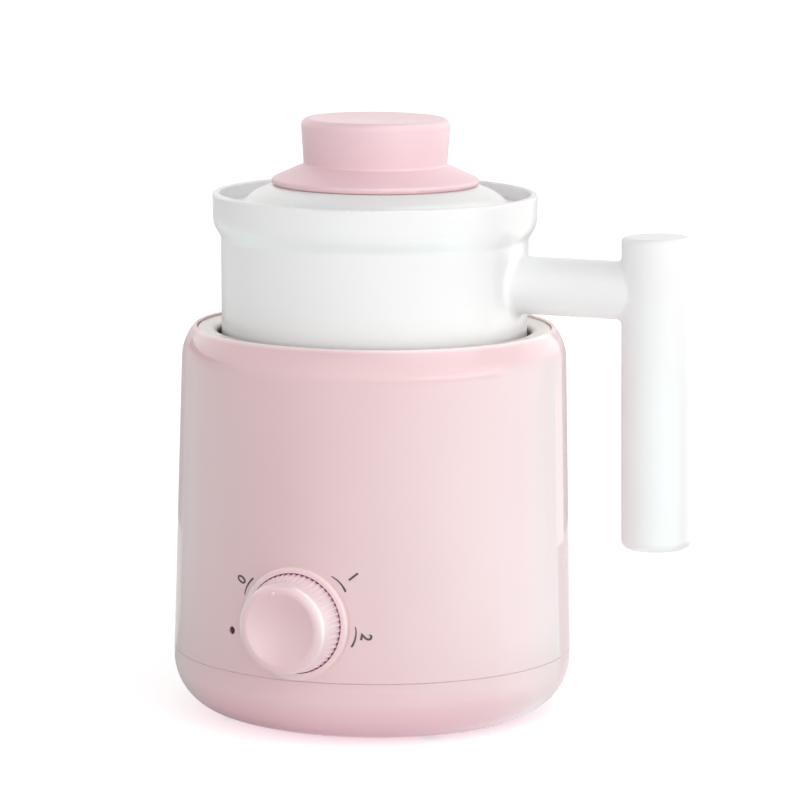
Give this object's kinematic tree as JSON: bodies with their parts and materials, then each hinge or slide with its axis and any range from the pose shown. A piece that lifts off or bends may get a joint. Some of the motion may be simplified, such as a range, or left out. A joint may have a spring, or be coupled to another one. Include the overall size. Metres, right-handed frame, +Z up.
{
  "type": "mini electric ceramic cooker",
  "caption": "Mini electric ceramic cooker: a round heating base with a turning dial, a lift-out ceramic pot with a T handle, and a recessed ceramic lid with a flared knob.",
  "frame": {"origin": "on the base's axis, on the surface that the foot ring stands on", "axes": "+Z up, the dial faces -Y, the pot's handle points along +X, the power inlet is at the back, +Y"},
  "size_m": [0.1807, 0.1491, 0.202],
  "materials": {
    "body_pink": "gloss",
    "knob_pink": "matte",
    "dial_pink": "satin",
    "pot_white": "gloss",
    "well_metal": "satin",
    "cast_metal": "matte",
    "steel": "satin",
    "element_sheath": "satin",
    "brass": "satin",
    "black_plastic": "satin",
    "tan_plastic": "satin",
    "lens_purple": "gloss",
    "lamp_glass": "gloss",
    "rubber_foot": "matte",
    "seal_white": "matte",
    "fuse_white": "matte",
    "wire_brown": "satin",
    "wire_blue": "satin",
    "wire_green": "satin",
    "wire_white": "satin"
  },
  "bodies": {
    "base": {"housing": "body_pink", "base_cover": "body_pink", "foot_ring": "rubber_foot", "base_screws": "steel", "heating_well": "well_metal", "heater_plate": "cast_metal", "heating_tube": "element_sheath", "heater_terminals": "brass", "heater_studs": "steel", "stud_spacers": "steel", "stud_nuts": "steel", "heat_shield": "steel", "shield_screws": "steel", "thermostat": "tan_plastic", "thermostat_screws": "steel", "thermal_fuse": "fuse_white", "fuse_clip": "steel", "rotary_switch": "black_plastic", "switch_washer": "steel", "switch_nut": "brass", "indicator_lens": "lens_purple", "indicator_lamp": "lamp_glass", "power_inlet": "black_plastic", "inlet_pins": "brass", "live_wire": "wire_brown", "neutral_wire": "wire_blue", "earth_wire": "wire_green", "heater_wires": "wire_white", "lamp_wires": "wire_white"},
    "pot": {"ceramic_pot": "pot_white"},
    "lid": {"lid": "pot_white", "lid_knob": "knob_pink", "knob_washer": "seal_white", "knob_screw": "steel"},
    "dial": {"control_knob": "dial_pink", "switch_shaft": "brass"}
  },
  "joints": [
    {"name": "dial_turn", "type": "hinge", "parent": "base", "child": "dial", "pos_m": [0, -0.0677, 0.0416], "axis": [0, 1, 0], "range_deg": [-46, 113]},
    {"name": "pot_lift", "type": "slide", "parent": "base", "child": "pot", "axis": [0, 0, 1], "range_m": [0, 0.1]},
    {"name": "lid_lift", "type": "slide", "parent": "pot", "child": "lid", "axis": [0, 0, 1], "range_m": [0, 0.06]}
  ]
}
